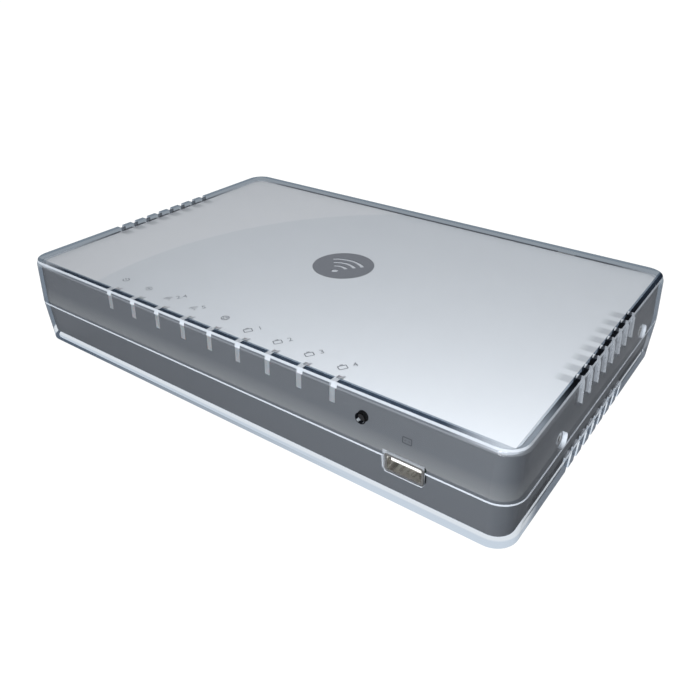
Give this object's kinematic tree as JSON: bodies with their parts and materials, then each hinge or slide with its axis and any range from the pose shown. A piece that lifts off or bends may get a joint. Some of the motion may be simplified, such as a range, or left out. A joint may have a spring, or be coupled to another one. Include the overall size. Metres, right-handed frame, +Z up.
{
  "type": "wireless router",
  "caption": "Flat desktop router in a clear-over-painted clamshell case, with wrap-over light guides, side vents, front USB port, rear network jacks and push buttons.",
  "frame": {"origin": "middle of the footprint, on the plane the feet stand on", "axes": "+X to the right seen from the front, front face towards -Y, +Z up"},
  "size_m": [0.23, 0.1492, 0.0382],
  "materials": {
    "clear_plastic": "clear polycarbonate, polished",
    "dark_grey_paint": "dark grey painted plastic, satin",
    "silver_paint": "fine silver paint, satin",
    "emblem_grey": "dark grey, gloss",
    "milky_plastic": "milky translucent acrylic",
    "black_plastic": "black moulded plastic",
    "white_plastic": "white moulded plastic",
    "circuit_board": "green solder mask over glass fibre",
    "chip_black": "moulded epoxy",
    "plated_steel": "bright nickel plated steel",
    "contact_gold": "gold plated contacts",
    "aluminium": "extruded aluminium",
    "thermal_pad": "soft silicone pad",
    "rubber": "black rubber",
    "label_film": "blank label film"
  },
  "bodies": {
    "case": {"top_cover_clear": "clear_plastic", "top_cover_body": "dark_grey_paint", "silver_panel": "silver_paint", "top_emblem": "emblem_grey", "base_cover_clear": "clear_plastic", "base_tray": "dark_grey_paint", "light_guide_comb": "milky_plastic", "light_board": "circuit_board", "status_leds": "white_plastic", "board_header": "black_plastic", "reset_switch": "black_plastic", "usb_shell": "plated_steel", "usb_tongue": "white_plastic", "usb_contacts": "plated_steel", "rear_panel": "black_plastic", "wan_jack": "black_plastic", "lan_jack_1": "black_plastic", "lan_jack_2": "black_plastic", "lan_jack_3": "black_plastic", "lan_jack_4": "black_plastic", "jack_contacts": "contact_gold", "dc_jack": "black_plastic", "dc_jack_pin": "plated_steel", "power_switch": "black_plastic", "pairing_switch": "black_plastic", "lock_slot_insert": "plated_steel", "main_board": "circuit_board", "processor": "chip_black", "thermal_pad": "thermal_pad", "processor_heatsink": "aluminium", "memory_chip": "chip_black", "flash_chip": "chip_black", "ethernet_switch_chip": "chip_black", "radio_shield_low_band": "plated_steel", "radio_shield_high_band": "plated_steel", "line_transformers": "chip_black", "electrolytic_capacitors": "aluminium", "power_inductors": "chip_black", "clock_crystals": "plated_steel", "antenna_left": "plated_steel", "antenna_right": "plated_steel", "case_screws": "plated_steel", "board_screws": "plated_steel", "side_inserts": "plated_steel", "rubber_feet": "rubber", "rating_label": "label_film"},
    "reset_button": {"reset_button": "black_plastic"},
    "power_button": {"power_button": "dark_grey_paint"},
    "pairing_button": {"pairing_button": "dark_grey_paint"}
  },
  "joints": [
    {"name": "reset_press", "type": "slide", "parent": "case", "child": "reset_button", "axis": [0, 1, 0], "range_m": [0, 0.0005], "stiffness_N_per_m": 2000},
    {"name": "power_press", "type": "slide", "parent": "case", "child": "power_button", "axis": [0, -1, 0], "range_m": [0, 0.002], "stiffness_N_per_m": 900},
    {"name": "pairing_press", "type": "slide", "parent": "case", "child": "pairing_button", "axis": [0, -1, 0], "range_m": [0, 0.0005], "stiffness_N_per_m": 2000}
  ]
}
